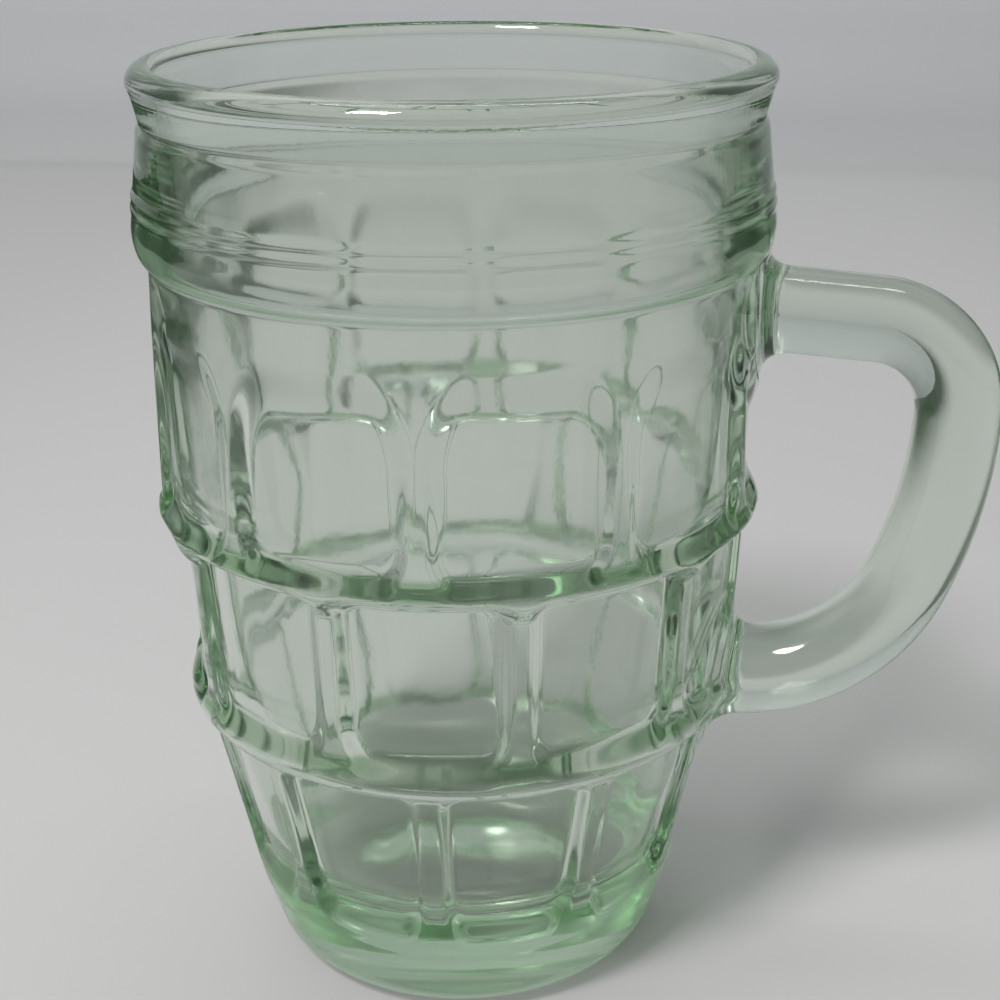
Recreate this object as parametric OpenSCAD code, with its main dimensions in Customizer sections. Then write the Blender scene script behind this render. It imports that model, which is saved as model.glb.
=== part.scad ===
// Pressed glass beer mug in the shape of a barrel: two hoops, three staggered rows of sunk
// windows, a plain collar under a rolled rim, and a handle fused on at two roots.
// Millimetres. Z is up, the mug stands on Z = 0 with its axis on Z, and the handle points along +X.

/* [Barrel] */
// Height from the table to the top of the rim
height = 141; // [125:1:165]
// Outside diameter of the rim
rim_d = 92; // [86:1:100]
// Thickness of the wall at the rim
wall = 4.2; // [3.4:0.1:5]
// Diameter over the upper hoop, the widest part of the barrel
belly_d = 92; // [88:1:100]
// Diameter over the lower hoop
waist_d = 86.2; // [80:0.2:92]
// Diameter of the foot
foot_d = 68.4; // [60:0.2:74]
// Thickness of the glass at the middle of the bottom
bottom = 9; // [6:0.5:14]
// Rise of the hollow under the foot
punt = 2.4; // [1:0.2:4]

/* [Windows] */
// Windows in each row
panels = 10; // [8:2:12]
// Width of the top of the rib between two windows
rib_w = 3; // [2:0.2:5]
// Depth of a window below the ribs
window_depth = 1.6; // [0.8:0.1:2]
// Depth that the upper windows fade to at their arched tops
arch_depth = 1; // [0.6:0.1:2]
// Draft of the rib sides, in degrees
draft = 40; // [20:5:50]
// Height of the sloped ledge from the foot of a window out to the hoop below it
ledge_h = 3; // [2:0.2:3.6]
// Corner radius of the windows
corner_r = 3; // [2:0.5:5]
// Corner radius at the top of the upper row, where the windows are arched
arch_r = 6; // [3:0.5:9]

/* [Handle] */
// Distance from the mug's axis to the outside of the grip
reach = 81; // [76:1:92]
// Thickness of the handle bar at the top and along the grip
bar_d = 12.8; // [10:0.2:14]
// Thickness of the bar where it meets the lower root
low_bar_d = 14.4; // [10:0.2:16]
// Radius of the bend at the top of the grip
bend_r = 13.7; // [11:0.1:16]
// Fall of the top bar from the barrel to the bend, in degrees
bar_fall = 5; // [0:1:10]
// Lean of the grip where it turns in to the lower root, in degrees
grip_lean = 22.5; // [15:0.5:30]
// Radius of the fillet where the bar meets the barrel
root_fillet = 6; // [4:0.5:7]
// Downward tilt of the lower root, which stands square on the barrel
low_tilt = 8; // [4:1:12]

/* [Hidden] */
$fn = 96;

// Levels of the barrel. The three rows share what the foot, hoops and collar leave.
foot_h = 13;
sill_z = 19.5;
lower_hoop_h = 6.7;
upper_hoop_h = 4.6;
shoulder_drop = 37.6;
shoulder_z = height - shoulder_drop;
window_h = (shoulder_z - sill_z - lower_hoop_h - upper_hoop_h) / 3;
row_z = [sill_z, sill_z + window_h + lower_hoop_h, shoulder_z - window_h];
rib_land = 0.6;
crest_drop = 0.35;
lower_hoop_z = row_z[1] - ledge_h - crest_drop;
upper_hoop_z = row_z[2] - ledge_h - crest_drop;
collar_drop = 27.5;
collar_z = height - collar_drop;
edge_drop = 22.6;
edge_z = height - edge_drop;
neck_drop = 8.6;
neck_z = height - neck_drop;
line_gap = 1.6;
line_lift = 3;
line_z = [edge_z + line_lift, edge_z + line_lift + line_gap];

// Radii of the barrel at those levels
rim_r = rim_d / 2;
lip_r = 2.6;
lip_z = height - lip_r;
lip_under = 1.2;
lip_flare = 0.5;
belly_r = belly_d / 2;
waist_r = waist_d / 2;
foot_r = foot_d / 2;
foot_edge = 7;
foot_lean = 18;
// The foot's rounded edge runs smoothly into the leaning side above it
bearing_r = foot_r - (foot_edge + (foot_h - foot_edge) * sin(foot_lean)) / cos(foot_lean);
sill_out = 1.2;
sill_r = foot_r + sill_out;
hoop_bulge = 4;
neck_in = 1.5;
neck_r = rim_r - neck_in;
neck_step = 0.5;
collar_in = 1.3;
collar_r = rim_r - collar_in;
collar_out = 2;
edge_r = collar_r + collar_out;
line_r = 0.7;
line_out = 0.3;
// Rib surface of each row: radius at its bottom and at its top, inside the hoops that bound it
waist_over = 2.1;
waist_under = 0.5;
belly_over = 2;
belly_under = 0.7;
shoulder_out = 0.3;
row_r = [
  [sill_r, waist_r - waist_over],
  [waist_r - waist_under, belly_r - belly_over],
  [belly_r - belly_under, collar_r + shoulder_out],
];
crest_r = [sill_r, waist_r, belly_r];
top_depth = [window_depth, window_depth, arch_depth];

// Inside: one long arc from the rim to the sill, closed by a shallow bowl
inner_r = rim_r - wall;
sill_wall = 2.9;
inner_sill_r = sill_r - window_depth - sill_wall;
inner_drop = lip_z - sill_z;
inner_in = inner_r - inner_sill_r;
inner_arc = (inner_drop * inner_drop + inner_in * inner_in) / (2 * inner_in);
floor_z = punt + bottom;
bowl_r = 64;
bearing_w = 3;
seat_r = bearing_r - bearing_w;
punt_r = (seat_r * seat_r + punt * punt) / (2 * punt);

// Handle line in the XZ plane: top bar, tight bend, long grip, lower bend
bar_r = bar_d / 2;
low_bar_r = low_bar_d / 2;
grip_x = reach - bar_r;
low_drop = 1;
low_z = lower_hoop_z - low_drop;
top_lift = 0.2;
top_z = shoulder_z + top_lift;
grip_z = top_z - bend_r * cos(bar_fall);
grip_share = 0.62;
grip_drop = grip_share * (grip_z - low_z);
grip_arc = grip_drop / sin(grip_lean);
turn = [grip_x - grip_arc * (1 - cos(grip_lean)), grip_z - grip_drop];
low_r = (turn[1] - low_z) / (1 - sin(grip_lean));
low_x = turn[0] - low_r * cos(grip_lean);
bend_x = grip_x - bend_r * (1 - sin(bar_fall));
root_in = 14;
root_lap = 0.3;
bar_in = 8;
top_sink = 1.9;
top_root_x = collar_r - top_sink;
top_root = [top_root_x, top_z + (bend_x - top_root_x) * tan(bar_fall)];
low_sink = 3.2;
low_root = [waist_r - low_sink, low_z];
bar_sides = 24;
// How far the tools that cut the windows reach past the glass
clear = 4;

// A place on the handle line: its point, and the direction from the line to the outside of the loop
function on_arc(centre, r, a) = [centre[0] + r * cos(a), centre[1] + r * sin(a), a];
line = concat(
  [[top_root[0] - bar_in * cos(bar_fall), top_root[1] + bar_in * sin(bar_fall), 90 - bar_fall]],
  [for (i = [0 : 8]) on_arc([grip_x - bend_r, grip_z], bend_r, (90 - bar_fall) * (1 - i / 8))],
  [for (i = [1 : 6]) on_arc([grip_x - grip_arc, grip_z], grip_arc, -grip_lean * i / 6)],
  [for (i = [1 : 9]) on_arc([low_x, low_z + low_r], low_r, -grip_lean - (90 - grip_lean) * i / 9)],
  [[low_root[0] - bar_in, low_z, -90]]
);

// Outside of the barrel as a half section, with hoops, collar lines and lip as true rounds
module outer_section() {
  polygon(concat(
    [[0, 0]],
    [for (i = [0 : 6])
      let (a = -90 + (90 - foot_lean) * i / 6)
        [bearing_r + foot_edge * cos(a), foot_edge * (1 + sin(a))]],
    [[foot_r, foot_h]],
    [for (i = [0 : 2]) each [
      [row_r[i][0], row_z[i] - rib_land],
      [row_r[i][1], row_z[i] + window_h + rib_land],
    ]],
    [for (a = [-90 : 15 : 0])
      [collar_r + collar_out * cos(a), edge_z + (edge_z - collar_z) * sin(a)]],
    [
      [neck_r + neck_step, neck_z],
      [neck_r, neck_z + neck_step],
      [rim_r - lip_flare, lip_z - lip_under],
      [rim_r - lip_r, lip_z],
      [0, lip_z],
    ]
  ));
  translate([waist_r - hoop_bulge, lower_hoop_z]) circle(r = hoop_bulge);
  translate([belly_r - hoop_bulge, upper_hoop_z]) circle(r = hoop_bulge);
  for (z = line_z) {
    face_r = edge_r + (neck_r + neck_step - edge_r) * (z - edge_z) / (neck_z - edge_z);
    translate([face_r + line_out - line_r, z]) circle(r = line_r);
  }
  translate([rim_r - lip_r, lip_z]) circle(r = lip_r);
}

// Space for the drink as a half section, open above the rim
module inner_section() {
  intersection() {
    translate([inner_r - inner_arc, lip_z]) circle(r = inner_arc, $fn = 1200);
    union() {
      translate([0, floor_z + bowl_r]) square([rim_r, height - floor_z - bowl_r + 1]);
      intersection() {
        translate([0, floor_z + bowl_r]) circle(r = bowl_r);
        square([rim_r, height]);
      }
    }
  }
}

// Row of windows, seen as a ring: the sunk floor, a sloped ledge below it and a steep edge above
module row_ring(i) {
  low_r = row_r[i][0] - window_depth;
  high_r = row_r[i][1] - top_depth[i];
  high_z = row_z[i] + window_h;
  fall = ledge_h / (crest_r[i] - low_r);
  rotate_extrude()
    polygon([
      [low_r, row_z[i]],
      [low_r + clear, row_z[i] - fall * clear],
      [high_r + clear, high_z + clear / 3],
      [high_r, high_z - rib_land],
    ]);
}

// Ribs of a row: bars that follow the barrel, with drafted sides
module ribs(i) {
  rise = window_h + ledge_h;
  tilt = atan2(row_r[i][1] - row_r[i][0], window_h);
  stagger = (i == 1) ? 0 : 180 / panels;
  half = [for (x = [-2 * clear, rib_land]) rib_w / 2 - x * tan(draft)];
  for (k = [0 : panels - 1])
    rotate([0, 0, stagger + k * 360 / panels])
      translate([row_r[i][0], 0, row_z[i]])
        rotate([0, tilt, 0])
          translate([0, 0, -2 * ledge_h])
            linear_extrude(rise + 3 * ledge_h)
              polygon([
                [-2 * clear, -half[0]],
                [rib_land, -half[1]],
                [2 * clear, -half[1]],
                [2 * clear, half[1]],
                [rib_land, half[1]],
                [-2 * clear, half[0]],
              ]);
}

// Rounds a window's two corners at its +Y end: half is the half width there, tall the half height
module corner_rounds(half, tall, corner) {
  inset = min(1.5 * corner, 0.9 * half);
  for (s = [-1, 1])
    translate([s * (half - inset), tall - inset]) circle(r = 1.05 * inset);
  translate([inset - half, -2 * tall]) square([2 * (half - inset), 4 * tall]);
  translate([-2 * half, -4 * tall]) square([4 * half, 5 * tall - inset]);
}

// One row of windows: the ring between its ribs, with the windows' corners rounded
module window_row(i, high_corner) {
  mid_r = (row_r[i][0] + row_r[i][1]) / 2;
  tall = (window_h + ledge_h) / 2;
  stagger = (i == 1) ? 180 / panels : 0;
  low_half = row_r[i][0] * sin(180 / panels) - rib_w / 2;
  high_half = row_r[i][1] * sin(180 / panels) - rib_w / 2;
  difference() {
    intersection() {
      rotate([0, 0, stagger + 180 / panels]) row_ring(i);
      for (k = [0 : panels - 1])
        rotate([0, 0, stagger + k * 360 / panels])
          translate([mid_r - 3 * clear, 0, row_z[i] - ledge_h + tall])
            rotate([90, 0, 90])
              linear_extrude(6 * clear)
                intersection() {
                  corner_rounds(high_half, tall, high_corner);
                  mirror([0, 1]) corner_rounds(low_half, tall, corner_r);
                }
    }
    ribs(i);
  }
}

// Root of the handle on its own axis: a stub inside the barrel that thins to the bar by a fillet
module root(r) {
  wide = r + root_fillet - root_lap;
  rotate_extrude()
    difference() {
      translate([0, -root_in]) square([wide, root_in + root_fillet]);
      translate([wide, root_fillet]) circle(r = root_fillet);
    }
}

module roots() {
  translate([top_root[0], 0, top_root[1]]) rotate([0, 90 + bar_fall, 0]) root(bar_r);
  translate([low_root[0], 0, low_root[1]]) rotate([0, 90 + low_tilt, 0]) root(low_bar_r);
}

// Round bar along the handle line. It swells through the lower bend.
module bar() {
  last = len(line) - 1;
  points = [for (p = line) let (r = bar_r + (low_bar_r - bar_r) * max(0, -p[2]) / 90)
    for (j = [0 : bar_sides - 1]) let (b = 360 * j / bar_sides)
      [p[0] + r * cos(b) * cos(p[2]), r * sin(b), p[1] + r * cos(b) * sin(p[2])]];
  sides = [for (i = [0 : last - 1], j = [0 : bar_sides - 1])
    let (a = i * bar_sides + j, b = i * bar_sides + (j + 1) % bar_sides)
      each [[a, b, b + bar_sides], [a, b + bar_sides, a + bar_sides]]];
  start = [for (j = [bar_sides - 1 : -1 : 0]) j];
  end = [for (j = [0 : bar_sides - 1]) last * bar_sides + j];
  polyhedron(points, concat(sides, [start, end]));
}

module barrel() {
  color([0.72, 0.82, 0.74, 0.45])
    difference() {
      rotate_extrude() difference() {
        outer_section();
        inner_section();
      }
      translate([0, 0, punt - punt_r]) sphere(r = punt_r, $fn = 240);
      difference() {
        union() {
          window_row(0, corner_r);
          window_row(1, corner_r);
          window_row(2, arch_r);
        }
        roots();
      }
    }
}

module handle() {
  color([0.72, 0.82, 0.74, 0.45])
    difference() {
      union() {
        bar();
        roots();
      }
      rotate_extrude() outer_section();
    }
}

barrel();
handle();
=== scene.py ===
"""Pressed-glass barrel beer mug, dressed for rendering in the part's own frame."""

import math

import bpy
import numpy as np
from mathutils import Matrix, Vector


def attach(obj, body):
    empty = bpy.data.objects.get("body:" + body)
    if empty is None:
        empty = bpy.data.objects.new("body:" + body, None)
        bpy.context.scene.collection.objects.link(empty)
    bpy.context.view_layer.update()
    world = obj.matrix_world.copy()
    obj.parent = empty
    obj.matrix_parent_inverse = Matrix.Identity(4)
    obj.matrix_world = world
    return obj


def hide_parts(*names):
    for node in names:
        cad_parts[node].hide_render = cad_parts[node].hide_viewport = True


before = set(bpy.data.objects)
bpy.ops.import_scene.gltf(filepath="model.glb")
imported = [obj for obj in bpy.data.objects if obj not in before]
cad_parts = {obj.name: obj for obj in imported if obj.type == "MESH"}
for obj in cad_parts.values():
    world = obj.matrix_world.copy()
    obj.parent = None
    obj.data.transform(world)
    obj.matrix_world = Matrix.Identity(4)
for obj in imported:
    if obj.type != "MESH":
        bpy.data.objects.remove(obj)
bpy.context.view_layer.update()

# Sizes in millimetres, under the names that the part's source gives them
MM = 0.001
HEIGHT = 141.0
RIM_R = 46.0
WALL = 4.2
BELLY_R = 46.0
WAIST_R = 43.1
FOOT_R = 34.2
BOTTOM = 9.0
PUNT = 2.4
PANELS = 10
RIB_W = 3.0
WINDOW_DEPTH = 1.6
ARCH_DEPTH = 1.0
DRAFT = math.radians(40)
LEDGE_H = 3.0
CORNER_R = 3.0
ARCH_R = 6.0
REACH = 81.0
BAR_R = 6.4
LOW_BAR_R = 7.2
BEND_R = 13.7
BAR_FALL = math.radians(5)
GRIP_LEAN = math.radians(22.5)
ROOT_FILLET = 4.5
INSET = 0.01  # keeps this finer skin inside the CAD model's box

# Levels of the barrel
FOOT_H = 13.0
SILL_Z = 19.5
LOWER_HOOP_H = 6.7
UPPER_HOOP_H = 4.6
SHOULDER_DROP = 37.6
SHOULDER_Z = HEIGHT - SHOULDER_DROP
WINDOW_H = (SHOULDER_Z - SILL_Z - LOWER_HOOP_H - UPPER_HOOP_H) / 3
ROW_Z = [SILL_Z, SILL_Z + WINDOW_H + LOWER_HOOP_H, SHOULDER_Z - WINDOW_H]
RIB_LAND = 0.6
CREST_DROP = 0.35
LOWER_HOOP_Z = ROW_Z[1] - LEDGE_H - CREST_DROP
UPPER_HOOP_Z = ROW_Z[2] - LEDGE_H - CREST_DROP
COLLAR_DROP = 27.5
COLLAR_Z = HEIGHT - COLLAR_DROP
EDGE_DROP = 22.6
EDGE_Z = HEIGHT - EDGE_DROP
NECK_DROP = 8.6
NECK_Z = HEIGHT - NECK_DROP
LINE_LIFT = 3.0
LINE_GAP = 1.6
LINE_Z = (EDGE_Z + LINE_LIFT, EDGE_Z + LINE_LIFT + LINE_GAP)

# Radii of the barrel at those levels
LIP_R = 2.6
LIP_Z = HEIGHT - LIP_R - INSET
LIP_UNDER = 1.2
LIP_FLARE = 0.5
FOOT_EDGE = 7.0
FOOT_LEAN = math.radians(18)
EDGE_RISE = (FOOT_H - FOOT_EDGE) * math.sin(FOOT_LEAN)
BEARING_R = FOOT_R - (FOOT_EDGE + EDGE_RISE) / math.cos(FOOT_LEAN)
EDGE_TOP_R = BEARING_R + FOOT_EDGE * math.cos(FOOT_LEAN)
EDGE_TOP_Z = FOOT_EDGE * (1 - math.sin(FOOT_LEAN))
SILL_OUT = 1.2
SILL_R = FOOT_R + SILL_OUT
HOOP_BULGE = 4.0
NECK_IN = 1.5
NECK_R = RIM_R - NECK_IN
NECK_STEP = 0.5
COLLAR_IN = 1.3
COLLAR_R = RIM_R - COLLAR_IN
COLLAR_OUT = 2.0
LINE_R = 0.7
LINE_OUT = 0.3
WAIST_OVER = 2.1
WAIST_UNDER = 0.5
BELLY_OVER = 2.0
BELLY_UNDER = 0.7
SHOULDER_OUT = 0.3
ROW_R = [
    (SILL_R, WAIST_R - WAIST_OVER),
    (WAIST_R - WAIST_UNDER, BELLY_R - BELLY_OVER),
    (BELLY_R - BELLY_UNDER, COLLAR_R + SHOULDER_OUT),
]
CREST_R = [SILL_R, WAIST_R, BELLY_R]
TOP_DEPTH = [WINDOW_DEPTH, WINDOW_DEPTH, ARCH_DEPTH]

# Inside of the barrel
INNER_R = RIM_R - WALL
SILL_WALL = 2.9
INNER_SILL_R = SILL_R - WINDOW_DEPTH - SILL_WALL
INNER_DROP = LIP_Z - SILL_Z
INNER_IN = INNER_R - INNER_SILL_R
INNER_ARC = (INNER_DROP**2 + INNER_IN**2) / (2 * INNER_IN)
FLOOR_Z = PUNT + BOTTOM
BOWL_R = 64.0
BEARING_W = 3.0
SEAT_R = BEARING_R - BEARING_W
WALL_BELOW = 3.0  # depth below the sill down to which the wall's arc is followed
BOWL_GAP = 2.0  # degrees left out where wall and bowl meet, to be rounded
BOWL_END = -88.5  # degrees at which the bowl's arc stops short of the axis
TIP_R = 1.0  # radius at which the hollow's arc starts

# Fineness of the meshes
COLUMNS = 640
ROW_STEP = 0.4
BASE_STEP = 0.7
INNER_STEP = 1.4
FINE_STEP = 0.05
BAR_STEP = 0.2
BAR_SIDES = 96
BAR_RINGS = 240
FILLET_RINGS = 15
PATCH_RINGS = 12
ARC_POINTS = 90
LIP_POINTS = 10
COLLAR_POINTS = 13
EDGE_POINTS = 16
HOLLOW_POINTS = 30
WALL_POINTS = 70
BOWL_POINTS = 40

# Rounding of the edges
SOFTNESS = 0.3  # turned edges of the side
BASE_ROUND = 0.35  # edge between the hollow and the ring that the mug stands on
BOWL_ROUND = 2.5  # corner between the wall and the bowl inside
LIP_FULL = 0.9  # fullness of the lip's inner quarter
LIP_START = 9.0  # degrees past the top where that quarter starts
LEDGE_ROUND = 0.7  # edges at each row's foot
RIB_ROUND = (0.8, 0.9, 2.0)  # edges higher up in each row
ROUND_START = 0.1  # share of a window's height where its edges start to soften
ROUND_OVER = 0.5  # share over which they do
TOP_SLOPE = (2.0, 2.0, 0.6)  # slope of the windows' upper edge in each row

# Joint of barrel and handle
INSIDE_X = 30.0  # where the handle's line starts and ends, inside the barrel
ROOT_BLEND = 5.0  # width over which the windows fade out around a root
JOINT_GAP = 0.02  # between the two glass skins inside a fused root
OUTSIDE = -9.0  # value of the mask "fused" far from a root

# Unevenness that the mould and the fire polish leave
RIPPLES = 14
RIPPLE_TURNS = (2, 26)
RIPPLE_LENGTH = (14, 60)
OUTER_RIPPLE = 0.05
OUTER_SEED = 3
OUTER_TOP = 4.0  # plain height under the lip
OUTER_FOOT = 6.0  # plain height above the table
OUTER_FADE = 6.0
ROOT_FADE = 1.5
INNER_RIPPLE = 0.25
INNER_SEED = 8
INNER_TOP = 3.0
INNER_TOP_FADE = 8.0
INNER_FLOOR = 6.0
INNER_FLOOR_FADE = 10.0

# Masks of the material
WEAR_START = 8.0  # depth below the lip over which the washed inside turns hazy
HANDLE_WEAR = 0.6  # haze of the handle as a share of the inside's
SHADE_BAND_FADE = 0.8  # height over which the painted dark-green shade of a ledge comes in
LEDGE_SHADE_DEPTH = 1.0  # strength of that painted shade at the ribs
LEDGE_SHADE_MIDDLE = 0.4  # and in the middle of a window


def smoothstep(t):
    t = np.clip(t, 0, 1)
    return t * t * (3 - 2 * t)


def blurred(values, step, sigma):
    """values along an evenly stepped line, with its corners rounded."""
    reach = int(4 * sigma / step) + 1
    x = np.arange(-reach, reach + 1) * step
    kernel = np.exp(-0.5 * (x / sigma) ** 2)
    kernel /= kernel.sum()
    return np.convolve(np.pad(values, reach, mode="edge"), kernel, mode="valid")


def along(points, step):
    """points of a polyline, evenly spaced along it."""
    points = np.asarray(points, float)
    s = np.r_[0, np.cumsum(np.hypot(*np.diff(points, axis=0).T))]
    t = np.linspace(0, s[-1], max(2, int(round(s[-1] / step)) + 1))
    return np.c_[np.interp(t, s, points[:, 0]), np.interp(t, s, points[:, 1])]


def rounded(points, step, sigma):
    """A polyline with rounded corners and its two ends kept."""
    fine = along(points, sigma / 5)
    fine_step = math.dist(fine[0], fine[1])
    soft = np.c_[blurred(fine[:, 0], fine_step, sigma), blurred(fine[:, 1], fine_step, sigma)]
    soft[0], soft[-1] = fine[0], fine[-1]
    return along(soft, step)


def arc(centre, radius, start, end, count):
    """Points of an arc, in degrees."""
    a = np.radians(np.linspace(start, end, count))
    return [(centre[0] + radius * c, centre[1] + radius * s) for c, s in zip(np.cos(a), np.sin(a))]


def side_profile():
    """Heights, and the radius of the rib surface at each, before the windows are sunk."""
    side = [(EDGE_TOP_R, EDGE_TOP_Z), (FOOT_R, FOOT_H)]
    for (low_r, high_r), z in zip(ROW_R, ROW_Z):
        side += [(low_r, z - RIB_LAND), (high_r, z + WINDOW_H + RIB_LAND)]
    side += [
        (COLLAR_R + COLLAR_OUT * math.cos(a), EDGE_Z + (EDGE_Z - COLLAR_Z) * math.sin(a))
        for a in np.radians(np.linspace(-90, 0, COLLAR_POINTS))
    ]
    face = side[-1], (NECK_R + NECK_STEP, NECK_Z)
    side += [
        (NECK_R + NECK_STEP, NECK_Z),
        (NECK_R, NECK_Z + NECK_STEP),
        (RIM_R - LIP_FLARE, LIP_Z - LIP_UNDER),
        (RIM_R, LIP_Z),
    ]
    beads = [
        (WAIST_R - HOOP_BULGE, LOWER_HOOP_Z, HOOP_BULGE),
        (BELLY_R - HOOP_BULGE, UPPER_HOOP_Z, HOOP_BULGE),
    ]
    for line_z in LINE_Z:
        face_r = np.interp(line_z, [z for _, z in face], [r for r, _ in face])
        beads.append((face_r + LINE_OUT - LINE_R, line_z, LINE_R))
    fine_z = np.arange(EDGE_TOP_Z, LIP_Z + FINE_STEP / 5, FINE_STEP)
    fine_r = np.interp(fine_z, [z for _, z in side], [r for r, _ in side])
    for centre_r, centre_z, bead_r in beads:
        rise = np.sqrt(np.clip(bead_r**2 - (fine_z - centre_z) ** 2, 0, None))
        fine_r = np.where(rise > 0, np.maximum(fine_r, centre_r + rise), fine_r)
    return fine_z, blurred(fine_r, FINE_STEP, SOFTNESS)


FINE_Z, FINE_R = side_profile()


def rib_radius(z):
    return np.interp(z, FINE_Z, FINE_R)


def soft_min(a, b, width):
    """The lesser of two heights, rounded where they cross."""
    near = np.clip(1 - np.abs(a - b) / width, 0, None)
    return np.minimum(a, b) - near * near * width / 4


PITCH = 2 * math.pi / PANELS


def panel_turn(angle, row):
    """Angle from the middle of the nearest window of a row. The middle row is staggered."""
    stagger = PITCH / 2 if row == 1 else 0
    return (angle - stagger + PITCH / 2) % PITCH - PITCH / 2


def window_radius(angle, z):
    """Radius of the outside with the windows pressed into it."""
    radius = rib_radius(z) + 0 * angle
    for i, ((low_r, high_r), low_z) in enumerate(zip(ROW_R, ROW_Z)):
        up = (z - low_z) / WINDOW_H
        depth = WINDOW_DEPTH + (TOP_DEPTH[i] - WINDOW_DEPTH) * up
        rib = low_r + (high_r - low_r) * up
        from_rib = (PITCH / 2 - np.abs(panel_turn(angle, i))) * rib
        side = depth - (from_rib - RIB_W / 2) / math.tan(DRAFT)
        ledge = (low_z - z) * (CREST_R[i] - low_r + WINDOW_DEPTH) / LEDGE_H
        top = TOP_SLOPE[i] * (z - low_z - WINDOW_H + RIB_LAND)
        end = np.maximum(ledge, top)
        corner = np.where((up > 0.5) & (i == 2), ARCH_R, CORNER_R)
        rise = np.hypot(np.maximum(side + corner, 0), np.maximum(end + corner, 0))
        rise = rise + np.minimum(np.maximum(side, end) + corner, 0) - corner
        higher = smoothstep((up - ROUND_START) / ROUND_OVER)
        soft = LEDGE_ROUND + (RIB_ROUND[i] - LEDGE_ROUND) * higher
        radius = soft_min(radius, rib - depth - soft_min(-rise, 0 * rise, soft), soft)
    return radius


# The handle's centre line in the XZ plane: top bar, tight bend, long grip, lower bend
GRIP_X = REACH - BAR_R - INSET
LOW_DROP = 1.0
LOW_Z = LOWER_HOOP_Z - LOW_DROP
TOP_LIFT = 0.2
TOP_Z = SHOULDER_Z + TOP_LIFT
GRIP_Z = TOP_Z - BEND_R * math.cos(BAR_FALL)
GRIP_SHARE = 0.62
GRIP_DROP = GRIP_SHARE * (GRIP_Z - LOW_Z)
GRIP_ARC = GRIP_DROP / math.sin(GRIP_LEAN)
TURN = (GRIP_X - GRIP_ARC * (1 - math.cos(GRIP_LEAN)), GRIP_Z - GRIP_DROP)
LOW_R = (TURN[1] - LOW_Z) / (1 - math.sin(GRIP_LEAN))
LOW_X = TURN[0] - LOW_R * math.cos(GRIP_LEAN)
BEND_X = GRIP_X - BEND_R * (1 - math.sin(BAR_FALL))


def handle_line():
    """Points (x, z) of the handle's centre line, and the angle of its outward side at each."""
    lean = math.degrees(GRIP_LEAN)
    fall = math.degrees(BAR_FALL)
    start = (INSIDE_X, TOP_Z + (BEND_X - INSIDE_X) * math.tan(BAR_FALL))
    points = [start]
    points += arc((GRIP_X - BEND_R, GRIP_Z), BEND_R, 90 - fall, 0, ARC_POINTS)
    points += arc((GRIP_X - GRIP_ARC, GRIP_Z), GRIP_ARC, 0, -lean, ARC_POINTS)[1:]
    points += arc((LOW_X, LOW_Z + LOW_R), LOW_R, -lean, -90, ARC_POINTS)[1:]
    points += [(INSIDE_X, LOW_Z)]
    line = along(points, BAR_STEP)
    heading = np.gradient(line, axis=0)
    outward = np.unwrap(np.arctan2(heading[:, 0], -heading[:, 1]))
    return line, outward


def wall_point(turn, z, lift=0.0):
    """The point of the rib surface at an angle and a height, raised by lift."""
    r = rib_radius(z) + lift
    return np.stack([r * np.cos(turn), r * np.sin(turn), z], axis=-1)


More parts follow.
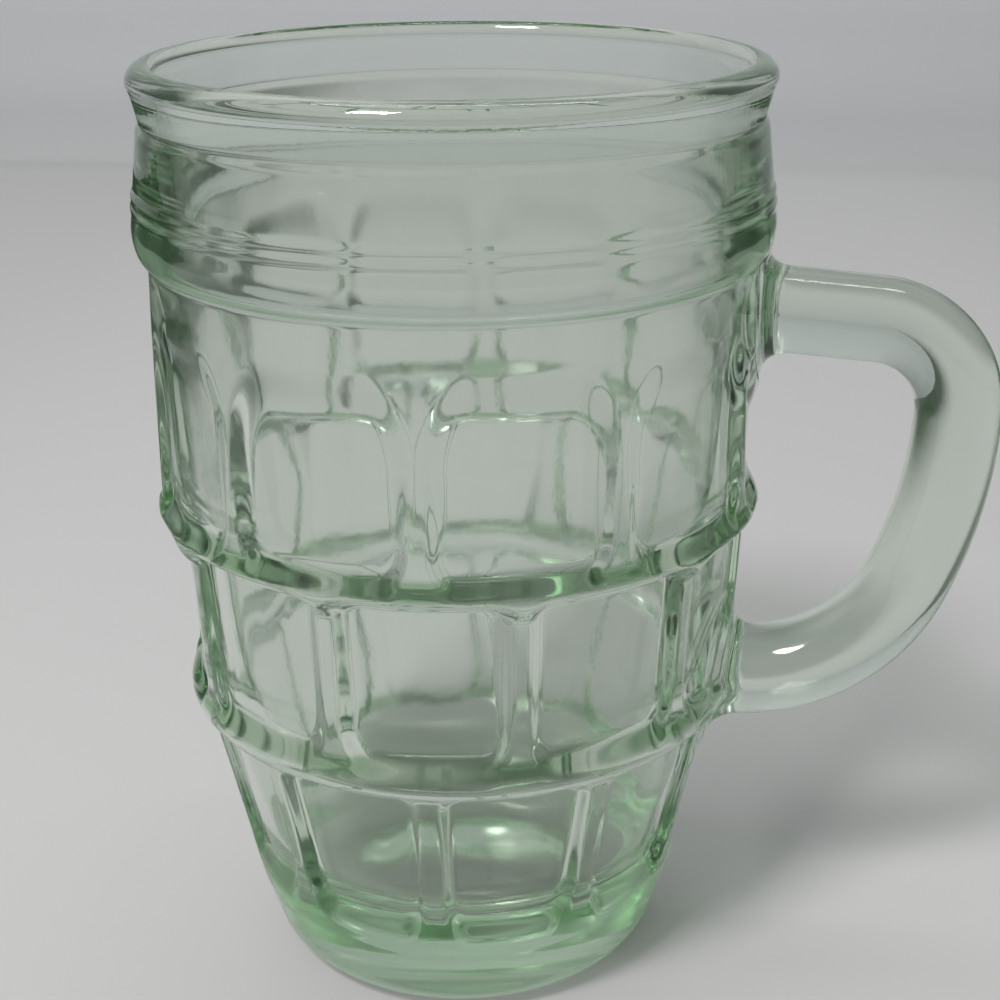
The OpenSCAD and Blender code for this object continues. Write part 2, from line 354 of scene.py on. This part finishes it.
def make_handle():
    """Rings of the handle's skin from the upper root to the lower one, and each root's outline.

    Each of the bar's long lines runs until it meets the barrel. There it leaves the bar by a
    fillet that spreads over the rib surface, and the root is closed by a patch that follows
    that surface.
    """
    line, outward = handle_line()
    side = np.linspace(0, 2 * math.pi, BAR_SIDES, endpoint=False)
    swell = np.clip(-outward / (math.pi / 2), 0, 1)
    r = (BAR_R + (LOW_BAR_R - BAR_R) * swell)[:, None]
    skin = np.stack(
        [
            line[:, :1] + r * np.cos(side) * np.cos(outward)[:, None],
            r * np.sin(side) * np.ones_like(line[:, :1]),
            line[:, 1:] + r * np.cos(side) * np.sin(outward)[:, None],
        ],
        axis=-1,
    )
    clear = np.hypot(skin[..., 0], skin[..., 1]) - rib_radius(skin[..., 2]) > 0
    first = clear.argmax(axis=0)
    last = len(line) - 1 - clear[::-1].argmax(axis=0)
    step = math.dist(line[0], line[1])
    back = int(round(ROOT_FILLET / step))
    columns = np.arange(BAR_SIDES)

    centre_clear = np.hypot(line[:, 0], 0) - rib_radius(line[:, 1]) > 0
    roots = []
    ends = []
    for hit, inner, centre_hit in (
        (first, first + back, centre_clear.argmax()),
        (last, last - back, len(line) - 1 - centre_clear[::-1].argmax()),
    ):
        corner = skin[hit, columns]
        middle_z = line[centre_hit, 1]
        middle_r = rib_radius(middle_z)
        across = np.arctan2(corner[:, 1], corner[:, 0]) * middle_r
        up = corner[:, 2] - middle_z
        reach = np.hypot(across, up)
        spread = (reach + ROOT_FILLET) / reach
        foot = (across * spread / middle_r, middle_z + up * spread)
        bar_end = skin[inner, columns]
        corner = wall_point(across / middle_r, middle_z + up)
        toe = wall_point(*foot, JOINT_GAP)
        t = np.linspace(0, 1, FILLET_RINGS)[:, None, None]
        fillet = (1 - t) ** 2 * bar_end + 2 * t * (1 - t) * corner + t**2 * toe
        q = np.linspace(1, 0, PATCH_RINGS, endpoint=False)[1:, None]
        patch = wall_point(q * foot[0], middle_z + q * (foot[1] - middle_z), JOINT_GAP)
        tip = wall_point(np.array(0.0), np.array(middle_z), JOINT_GAP)
        bearing = np.arctan2(up, across)
        order = np.argsort(bearing)
        roots.append((middle_z, middle_r, bearing[order], (reach + ROOT_FILLET)[order]))
        ends.append((fillet, patch, tip))

    t = np.linspace(0, 1, BAR_RINGS)[1:-1, None]
    where = (first + back) * (1 - t) + (last - back) * t
    below = where.astype(int)
    part = (where - below)[..., None]
    bar = skin[below, columns] * (1 - part) + skin[below + 1, columns] * part
    (top_fillet, top_patch, top_tip), (low_fillet, low_patch, low_tip) = ends
    rings = np.concatenate([top_patch[::-1], top_fillet[::-1], bar, low_fillet, low_patch])
    inside = np.concatenate(
        [
            np.linspace(1, 0, len(top_patch), endpoint=False),
            np.zeros(1),
            np.full(len(rings) - 2 * len(top_patch) - 2, -1.0),
            np.zeros(1),
            np.linspace(0, 1, len(low_patch) + 1)[1:],
        ]
    )
    fused = np.repeat(inside[:, None], BAR_SIDES, axis=1)
    masks = {"fused": fused, "worn": np.full(fused.shape, HANDLE_WEAR)}
    return rings, masks, top_tip, low_tip, roots


def root_cover(roots, turn, z):
    """Distance, in millimetres, that a point of the barrel lies inside the outline of a root."""
    cover = np.full(np.broadcast(turn, z).shape, OUTSIDE)
    turn = (turn + math.pi) % (2 * math.pi) - math.pi
    for middle_z, middle_r, angles, reaches in roots:
        across, up = turn * middle_r, z - middle_z
        outline = np.interp(np.arctan2(up, across), angles, reaches, period=2 * math.pi)
        cover = np.maximum(cover, outline - np.hypot(across, up))
    return cover


def ripple(turn, z, seed):
    """Slight unevenness of the glass, from -1 to 1."""
    rng = np.random.default_rng(seed)
    total = np.zeros(np.broadcast(turn, z).shape)
    for _ in range(RIPPLES):
        around, phase_a, phase_b = rng.integers(*RIPPLE_TURNS), *rng.uniform(0, 2 * math.pi, 2)
        length = rng.uniform(*RIPPLE_LENGTH)
        total += np.sin(around * turn + phase_a) * np.sin(2 * math.pi * z / length + phase_b)
    return total / RIPPLES


def shade_band(z, low, high):
    """1 between two levels, 0 away from them."""
    return smoothstep((z - low) / SHADE_BAND_FADE + 0.5) * smoothstep((high - z) / SHADE_BAND_FADE + 0.5)


def turned(profile, turn):
    """Rings of points from a profile turned about the axis."""
    r, z = np.asarray(profile, float).T
    x, y = r[:, None] * np.cos(turn), r[:, None] * np.sin(turn)
    return np.stack(np.broadcast_arrays(x, y, z[:, None]), -1)


def base_profile():
    """The underside, from near its middle to the top of the foot's rounded edge."""
    rise = SEAT_R**2 / (2 * PUNT) + PUNT / 2
    hollow_r = np.linspace(TIP_R, SEAT_R, HOLLOW_POINTS)
    hollow = [(x, PUNT - rise + math.sqrt(rise**2 - x**2)) for x in hollow_r]
    edge = arc((BEARING_R, FOOT_EDGE), FOOT_EDGE, -90, -math.degrees(FOOT_LEAN), EDGE_POINTS)
    base = rounded(hollow + edge, BASE_STEP, BASE_ROUND)
    base[:, 1] = np.clip(base[:, 1], 0, None)
    return base


def lip_profile():
    """The lip, from its outside over the top to its inside."""
    lip = arc((RIM_R - LIP_R, LIP_Z), LIP_R, 0, 90, LIP_POINTS)[1:]
    top_in = RIM_R - LIP_R - INNER_R
    lip += [
        (
            RIM_R - LIP_R - top_in * math.sin(a),
            LIP_Z + LIP_R * math.cos(a) * LIP_FULL + LIP_R * (1 - LIP_FULL),
        )
        for a in np.radians(np.linspace(LIP_START, 90, LIP_POINTS))
    ]
    return lip


def inner_profile():
    """The inside, from the lip down one long arc and over the bowl to near its middle."""
    bowl_z = FLOOR_Z + BOWL_R
    wall_z = np.linspace(LIP_Z, SILL_Z - WALL_BELOW, WALL_POINTS)
    wall = [
        (INNER_R - INNER_ARC + math.sqrt(INNER_ARC**2 - (LIP_Z - z) ** 2), z) for z in wall_z
    ]
    wall = [p for p in wall if math.hypot(p[0], p[1] - bowl_z) < BOWL_R or p[1] > bowl_z]
    meet = math.degrees(math.atan2(wall[-1][1] - bowl_z, wall[-1][0]))
    bowl = arc((0, bowl_z), BOWL_R, meet - BOWL_GAP, BOWL_END, BOWL_POINTS)
    return rounded(wall + bowl, INNER_STEP, BOWL_ROUND)


def make_barrel(roots):
    """Rings of the barrel's skin, from under the foot round the rim to the middle of the bowl."""
    turn = np.linspace(0, 2 * math.pi, COLUMNS, endpoint=False)[None, :]
    base, lip, inner = base_profile(), lip_profile(), inner_profile()

    side_z = np.linspace(EDGE_TOP_Z, LIP_Z, int((LIP_Z - EDGE_TOP_Z) / ROW_STEP))[1:, None]
    cover = root_cover(roots, turn, side_z)
    plain_r = rib_radius(side_z)
    side_r = plain_r + (window_radius(turn, side_z) - plain_r) * smoothstep(-cover / ROOT_BLEND)
    free = smoothstep((LIP_Z - OUTER_TOP - side_z) / OUTER_FADE) * smoothstep(-cover / ROOT_FADE)
    free = free * smoothstep((side_z - OUTER_FOOT) / OUTER_FADE)
    side_r = side_r + OUTER_RIPPLE * ripple(turn, side_z, OUTER_SEED) * free - OUTER_RIPPLE * free
    side = np.stack(
        np.broadcast_arrays(side_r * np.cos(turn), side_r * np.sin(turn), side_z), -1
    )

    inside = turned(inner, turn)
    inner_z = inner[:, 1:]
    calm = smoothstep((LIP_Z - INNER_TOP - inner_z) / INNER_TOP_FADE)
    calm = calm * smoothstep((inner_z - FLOOR_Z - INNER_FLOOR) / INNER_FLOOR_FADE)
    wave = INNER_RIPPLE * ripple(turn, inner_z, INNER_SEED) * calm / np.maximum(inner[:, :1], 1)
    inside[..., :2] *= 1 + wave[..., None]

    rings = np.concatenate([turned(base, turn), side, turned(lip, turn), inside])
    outside = slice(len(base), len(base) + len(side))
    masks = {mask: np.zeros(rings.shape[:2]) for mask in ("fused", "worn", "ledge", "collar")}
    masks["fused"][:] = OUTSIDE
    masks["fused"][outside] = cover
    masks["worn"][-len(inside) :] = smoothstep((LIP_Z - inner_z) / WEAR_START)
    # Painted shade: each ledge turns dark green, most at the ribs
    for i, low_z in enumerate(ROW_Z):
        from_middle = np.abs(panel_turn(turn, i)) / (PITCH / 2)
        depth = LEDGE_SHADE_MIDDLE + (LEDGE_SHADE_DEPTH - LEDGE_SHADE_MIDDLE) * smoothstep(from_middle)
        masks["ledge"][outside] += depth * shade_band(side_z, low_z - LEDGE_H, low_z)
    # Painted shade on the collar's sides, which the material darkens where they slant from view
    masks["collar"][outside] = shade_band(side_z, COLLAR_Z, NECK_Z)
    return rings, masks, np.array([0, 0, PUNT]), np.array([0, 0, FLOOR_Z])


def closed_mesh(name, rings, masks, first_tip, last_tip):
    """A closed skin of quads over rings of points, with a fan at each end."""
    count, sides = rings.shape[:2]
    points = np.concatenate([rings.reshape(-1, 3), first_tip[None], last_tip[None]]) * MM
    i, j = np.meshgrid(np.arange(count - 1), np.arange(sides), indexing="ij")
    k = (j + 1) % sides
    low, high = i * sides, (i + 1) * sides
    quads = np.stack([low + j, low + k, high + k, high + j], -1).reshape(-1, 4)
    j = np.arange(sides)
    k = (j + 1) % sides
    end = (count - 1) * sides
    fans = np.concatenate(
        [
            np.stack([np.full(sides, count * sides), k, j], -1),
            np.stack([np.full(sides, count * sides + 1), end + j, end + k], -1),
        ]
    )
    mesh = bpy.data.meshes.new(name)
    mesh.vertices.add(len(points))
    mesh.vertices.foreach_set("co", points.ravel())
    mesh.loops.add(quads.size + fans.size)
    mesh.loops.foreach_set("vertex_index", np.concatenate([quads.ravel(), fans.ravel()]))
    starts = np.concatenate([np.arange(len(quads)) * 4, quads.size + np.arange(len(fans)) * 3])
    mesh.polygons.add(len(starts))
    mesh.polygons.foreach_set("loop_start", starts)
    mesh.update(calc_edges=True)
    mesh.validate()
    if name == "handle_glass":
        mesh.flip_normals()
    mesh.shade_smooth()
    for mask, values in masks.items():
        values = np.concatenate([values.ravel(), [values[0].max(), values[-1].max()]])
        attribute = mesh.attributes.new(mask, "FLOAT", "POINT")
        attribute.data.foreach_set("value", values.astype(np.float32))
    obj = bpy.data.objects.new(name, mesh)
    bpy.context.scene.collection.objects.link(obj)
    return obj


# Looks of the glass
GLASS_TINT = (0.910, 0.937, 0.907, 1)
PAINTED_SHADE_TINT = (0.24, 0.44, 0.23, 1)  # painted shade, dark green where light would run a long way inside the wall
SHADE_SLANT_START = 0.30  # painted shade: the collar's sides turn dark green between these slants
SHADE_SLANT_FULL = 0.65
GLASS_IOR = 1.52
WIPE_SCALE = 90.0  # wipe marks, which dull the polish a little
WIPE_DETAIL = 4.0
WIPE_START = 0.35
WIPE_FULL = 0.75
WIPE_ROUGH = 0.02
UNDER_ROUGH = 0.12  # the ring that the mug stands on is scuffed
UNDER_FULL = 0.75 * PUNT * MM
UNDER_END = 1.1 * PUNT * MM
INSIDE_ROUGH = 0.08
SKIN_SCALE = 70.0
SKIN_DETAIL = 2.0
SKIN_STRENGTH = 0.02
SKIN_HEIGHT = 0.0004
SHADOW_TINT = (0.70, 0.71, 0.70, 1)  # share of the lamps' light that each skin lets through
VOLUME_TINT = (0.24, 0.62, 0.22, 1)
VOLUME_DENSITY = 11.0


def add_node(tree, kind, inputs=(), **settings):
    """A new node with its settings and the values of some of its inputs."""
    node = tree.nodes.new("ShaderNode" + kind)
    for key, value in settings.items():
        setattr(node, key, value)
    for key, value in dict(inputs).items():
        node.inputs[key].default_value = value
    return node


def new_material(name):
    material = bpy.data.materials.new(name)
    material.use_nodes = True
    tree = material.node_tree
    return material, tree, tree.links.new, tree.nodes["Principled BSDF"]


def glass_material():
    """Pale green pressed glass, with painted shade on the ledges and the collar's sides. Where the
    two skins are fused, light passes straight on.
    """
    material, tree, link, shader = new_material("pressed_glass")
    shader.inputs["Transmission Weight"].default_value = 1.0
    shader.inputs["IOR"].default_value = GLASS_IOR

    # Painted shade: dark green on the ledges and on the slanting sides of the collar
    colour = add_node(tree, "Mix", data_type="RGBA")
    colour.inputs["A"].default_value = GLASS_TINT
    colour.inputs["B"].default_value = PAINTED_SHADE_TINT
    ledge = add_node(tree, "Attribute", attribute_name="ledge")
    collar = add_node(tree, "Attribute", attribute_name="collar")
    slant = add_node(tree, "LayerWeight", {"Blend": 0.5})
    slant_range = {"From Min": SHADE_SLANT_START, "From Max": SHADE_SLANT_FULL}
    edge = add_node(tree, "MapRange", slant_range, interpolation_type="SMOOTHSTEP")
    sides = add_node(tree, "Math", operation="MULTIPLY")
    painted_shade = add_node(tree, "Math", operation="MAXIMUM")
    link(slant.outputs["Facing"], edge.inputs["Value"])
    link(edge.outputs["Result"], sides.inputs[0])
    link(collar.outputs["Fac"], sides.inputs[1])
    link(ledge.outputs["Fac"], painted_shade.inputs[0])
    link(sides.outputs["Value"], painted_shade.inputs[1])
    link(painted_shade.outputs["Value"], colour.inputs["Factor"])
    link(colour.outputs["Result"], shader.inputs["Base Color"])

    # Wipe marks, a scuffed underside and a washed inside
    wipe = add_node(tree, "TexNoise", {"Scale": WIPE_SCALE, "Detail": WIPE_DETAIL})
    wipe_range = {"From Min": WIPE_START, "From Max": WIPE_FULL}
    wipe_range |= {"To Min": 0.0, "To Max": WIPE_ROUGH}
    polish = add_node(tree, "MapRange", wipe_range)
    place = add_node(tree, "TexCoord")
    split = add_node(tree, "SeparateXYZ")
    under_range = {"From Min": UNDER_FULL, "From Max": UNDER_END}
    under_range |= {"To Min": UNDER_ROUGH, "To Max": 0.0}
    under = add_node(tree, "MapRange", under_range)
    rough = add_node(tree, "Math", operation="MAXIMUM")
    worn = add_node(tree, "Attribute", attribute_name="worn")
    haze = add_node(tree, "Math", {1: INSIDE_ROUGH}, operation="MULTIPLY_ADD")
    link(wipe.outputs["Fac"], polish.inputs["Value"])
    link(place.outputs["Object"], split.inputs["Vector"])
    link(split.outputs["Z"], under.inputs["Value"])
    link(polish.outputs["Result"], rough.inputs[0])
    link(under.outputs["Result"], rough.inputs[1])
    link(worn.outputs["Fac"], haze.inputs[0])
    link(rough.outputs["Value"], haze.inputs[2])
    link(haze.outputs["Value"], shader.inputs["Roughness"])

    # Fire-polished skin
    skin = add_node(tree, "TexNoise", {"Scale": SKIN_SCALE, "Detail": SKIN_DETAIL})
    bump = add_node(tree, "Bump", {"Strength": SKIN_STRENGTH, "Distance": SKIN_HEIGHT})
    link(skin.outputs["Fac"], bump.inputs["Height"])
    link(bump.outputs["Normal"], shader.inputs["Normal"])

    # No surface where the skins are fused
    fused = add_node(tree, "Attribute", attribute_name="fused")
    within = add_node(tree, "Math", {1: 0.0}, operation="GREATER_THAN")
    straight = add_node(tree, "BsdfTransparent")
    surface = add_node(tree, "MixShader")
    link(fused.outputs["Fac"], within.inputs[0])
    link(within.outputs["Value"], surface.inputs["Fac"])
    link(shader.outputs["BSDF"], surface.inputs[1])
    link(straight.outputs["BSDF"], surface.inputs[2])

    # A soft shadow
    path = add_node(tree, "LightPath")
    passed = add_node(tree, "BsdfTransparent", {"Color": SHADOW_TINT})
    lit = add_node(tree, "MixShader")
    link(path.outputs["Is Shadow Ray"], lit.inputs["Fac"])
    link(surface.outputs["Shader"], lit.inputs[1])
    link(passed.outputs["BSDF"], lit.inputs[2])

    tint = add_node(tree, "VolumeAbsorption", {"Color": VOLUME_TINT, "Density": VOLUME_DENSITY})
    output = tree.nodes["Material Output"]
    link(lit.outputs["Shader"], output.inputs["Surface"])
    link(tint.outputs["Volume"], output.inputs["Volume"])
    return material


handle_rings, handle_masks, top_tip, low_tip, roots = make_handle()
barrel_rings, barrel_masks, under_tip, bowl_tip = make_barrel(roots)
glass = glass_material()
for name, node, rings, masks, first, last in (
    ("barrel_glass", "barrel", barrel_rings, barrel_masks, under_tip, bowl_tip),
    ("handle_glass", "handle", handle_rings, handle_masks, top_tip, low_tip),
):
    piece = closed_mesh(name, rings, masks, first, last)
    piece.data.materials.append(glass)
    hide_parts(node)
    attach(piece, "root")

# Camera where the photographer stood, in millimetres
CAMERA = Vector((32.6, -252.5, 172.3))
CAMERA_FORWARD = Vector((-0.0966, 0.9267, -0.3632))
CAMERA_RIGHT = Vector((0.9949, 0.1011, -0.0067))
FOCAL_SHARE = 1.754  # focal length over the picture's width
SENSOR_W = 36.0
NEAREST = 0.01  # metres

scene = bpy.context.scene
camera = bpy.data.cameras.new("camera")
camera.sensor_width = SENSOR_W
camera.lens = FOCAL_SHARE * SENSOR_W
camera.clip_start = NEAREST
eye = bpy.data.objects.new("camera", camera)
back = -CAMERA_FORWARD.normalized()
right = (CAMERA_RIGHT - CAMERA_RIGHT.dot(back) * back).normalized()
up = back.cross(right)
turn = Matrix((right, up, back)).transposed().to_4x4()
eye.matrix_world = Matrix.Translation(CAMERA * MM) @ turn
scene.collection.objects.link(eye)
scene.camera = eye

# Table that rises into a wall behind the mug, in metres
WALL_Y = 0.74
COVE_R = 0.07
HALF_W = 1.6
FRONT_Y = -1.2
WALL_H = 1.2
TABLE_COLOUR = (0.72, 0.72, 0.715, 1)
# The wall's colour runs from painted shade at its foot to a lighter top
WALL_LOW = (0.60, 0.62, 0.63, 1)
WALL_HIGH = (0.77, 0.79, 0.81, 1)
TABLE_ROUGH = 0.6
COVE_POINTS = 16
COVE_START = WALL_Y - 1.4 * COVE_R  # the table's colour turns into the wall's
COVE_END = WALL_Y - 0.3 * COVE_R
SHADE_START = 0.25 * COVE_R  # painted shade: the wall is darker at its foot
SHADE_END = 1.2 * COVE_R


def make_stage():
    outline = [(FRONT_Y, 0.0), (WALL_Y - COVE_R, 0.0)]
    outline += arc((WALL_Y - COVE_R, COVE_R), COVE_R, -90, 0, COVE_POINTS)[1:]
    outline += [(WALL_Y, WALL_H)]
    points = [(x, y, z) for y, z in outline for x in (-HALF_W, HALF_W)]
    faces = [(2 * n, 2 * n + 1, 2 * n + 3, 2 * n + 2) for n in range(len(outline) - 1)]
    mesh = bpy.data.meshes.new("table")
    mesh.from_pydata(points, [], faces)
    mesh.shade_smooth()
    table = bpy.data.objects.new("table", mesh)
    scene.collection.objects.link(table)

    material, tree, link, shader = new_material("table")
    shader.inputs["Roughness"].default_value = TABLE_ROUGH
    place = add_node(tree, "TexCoord")
    split = add_node(tree, "SeparateXYZ")
    depth = add_node(tree, "MapRange", {"From Min": COVE_START, "From Max": COVE_END})
    lift = add_node(tree, "MapRange", {"From Min": SHADE_START, "From Max": SHADE_END})
    wall = add_node(tree, "Mix", data_type="RGBA")
    wall.inputs["A"].default_value = WALL_LOW
    wall.inputs["B"].default_value = WALL_HIGH
    colour = add_node(tree, "Mix", data_type="RGBA")
    colour.inputs["A"].default_value = TABLE_COLOUR
    link(place.outputs["Object"], split.inputs["Vector"])
    link(split.outputs["Z"], lift.inputs["Value"])
    link(lift.outputs["Result"], wall.inputs["Factor"])
    link(wall.outputs["Result"], colour.inputs["B"])
    link(split.outputs["Y"], depth.inputs["Value"])
    link(depth.outputs["Result"], colour.inputs["Factor"])
    link(colour.outputs["Result"], shader.inputs["Base Color"])
    mesh.materials.append(material)


# Dark cards on the table, in metres
CARD_START = 0.10
CARD_FULL = 0.24
RIGHT_SHIFT = 0.03  # extra distance of the right card, which keeps it out of the handle
CARD_END = 1.2
CARD_FRONT_Y = 0.0
CARD_DEPTH = 0.15  # depth over which the cards fade in behind the mug
CARD_Z = 0.001
CARD_COLOUR = (0.02, 0.06, 0.02, 1)
CARD_ROUGH = 0.8


def make_cards():
    """Dark cards behind the mug, which only show in the glass and draw its dark edges."""
    material, tree, link, shader = new_material("card")
    shader.inputs["Base Color"].default_value = CARD_COLOUR
    shader.inputs["Roughness"].default_value = CARD_ROUGH
    place = add_node(tree, "TexCoord")
    split = add_node(tree, "SeparateXYZ")
    middle = add_node(tree, "Math", {1: RIGHT_SHIFT / 2}, operation="SUBTRACT")
    away = add_node(tree, "Math", operation="ABSOLUTE")
    half = RIGHT_SHIFT / 2
    fade_range = {"From Min": CARD_START + half, "From Max": CARD_FULL + half}
    fade = add_node(tree, "MapRange", fade_range, interpolation_type="SMOOTHSTEP")
    behind_range = {"From Min": CARD_FRONT_Y, "From Max": CARD_FRONT_Y + CARD_DEPTH}
    behind = add_node(tree, "MapRange", behind_range, interpolation_type="SMOOTHSTEP")
    cover = add_node(tree, "Math", operation="MULTIPLY")
    link(place.outputs["Object"], split.inputs["Vector"])
    link(split.outputs["X"], middle.inputs[0])
    link(middle.outputs["Value"], away.inputs[0])
    link(away.outputs["Value"], fade.inputs["Value"])
    link(split.outputs["Y"], behind.inputs["Value"])
    link(fade.outputs["Result"], cover.inputs[0])
    link(behind.outputs["Result"], cover.inputs[1])
    link(cover.outputs["Value"], shader.inputs["Alpha"])
    for side, name in ((-1, "card_left"), (1, "card_right")):
        xs = side * CARD_START, side * CARD_END
        points = [(x, y, CARD_Z) for y in (CARD_FRONT_Y, WALL_Y - COVE_R) for x in xs]
        mesh = bpy.data.meshes.new(name)
        mesh.from_pydata(points, [], [(0, 1, 3, 2)])
        mesh.materials.append(material)
        card = bpy.data.objects.new(name, mesh)
        card.visible_camera = False
        card.visible_diffuse = False
        card.visible_shadow = False
        scene.collection.objects.link(card)


# Lamps, in metres and watts
LAMP_TARGET = Vector((0, 0, 0.05))
KEY_PLACE = Vector((-0.405, -0.761, 1.23))
KEY_SIZE = (0.3, 0.3)
KEY_POWER = 14.4
KEY_COLOUR = (1.0, 0.99, 0.975)
CEILING_PLACE = Vector((0.0, 0.25, 1.6))
CEILING_SIZE = (1.4, 0.08)
CEILING_POWER = 3.6
CEILING_COLOUR = (0.98, 0.99, 1.0)


def area_light(name, place, size, power, colour):
    data = bpy.data.lights.new(name, "AREA")
    data.shape = "RECTANGLE"
    data.size, data.size_y = size
    data.energy = power
    data.color = colour
    lamp = bpy.data.objects.new(name, data)
    lamp.location = place
    lamp.rotation_euler = (LAMP_TARGET - place).to_track_quat("-Z", "Y").to_euler()
    scene.collection.objects.link(lamp)


# Room around the table
ROOM_COLOUR = (0.80, 0.83, 0.85, 1)
ROOM_LIGHT = 0.10
ROOM_SHOWN = 0.52


def make_room():
    """A room that looks as pale as the wall, also through the glass, and lights the mug less."""
    world = bpy.data.worlds.new("room")
    world.use_nodes = True
    tree = world.node_tree
    link = tree.links.new
    background = tree.nodes["Background"]
    background.inputs["Color"].default_value = ROOM_COLOUR
    path = add_node(tree, "LightPath")
    seen = add_node(tree, "Math", operation="MAXIMUM")
    shown = add_node(tree, "MapRange", {"To Min": ROOM_LIGHT, "To Max": ROOM_SHOWN})
    link(path.outputs["Is Camera Ray"], seen.inputs[0])
    link(path.outputs["Is Transmission Ray"], seen.inputs[1])
    link(seen.outputs["Value"], shown.inputs["Value"])
    link(shown.outputs["Result"], background.inputs["Strength"])
    scene.world = world


make_stage()
make_cards()
area_light("key", KEY_PLACE, KEY_SIZE, KEY_POWER, KEY_COLOUR)
area_light("ceiling", CEILING_PLACE, CEILING_SIZE, CEILING_POWER, CEILING_COLOUR)
make_room()

# Bounces enough for two glass walls behind each other
BOUNCES = 24
GLOSSY_BOUNCES = 12
scene.view_settings.view_transform = "Standard"
scene.cycles.use_denoising = True
scene.cycles.max_bounces = BOUNCES
scene.cycles.transmission_bounces = BOUNCES
scene.cycles.glossy_bounces = GLOSSY_BOUNCES
scene.cycles.transparent_max_bounces = BOUNCES
scene.cycles.caustics_refractive = False
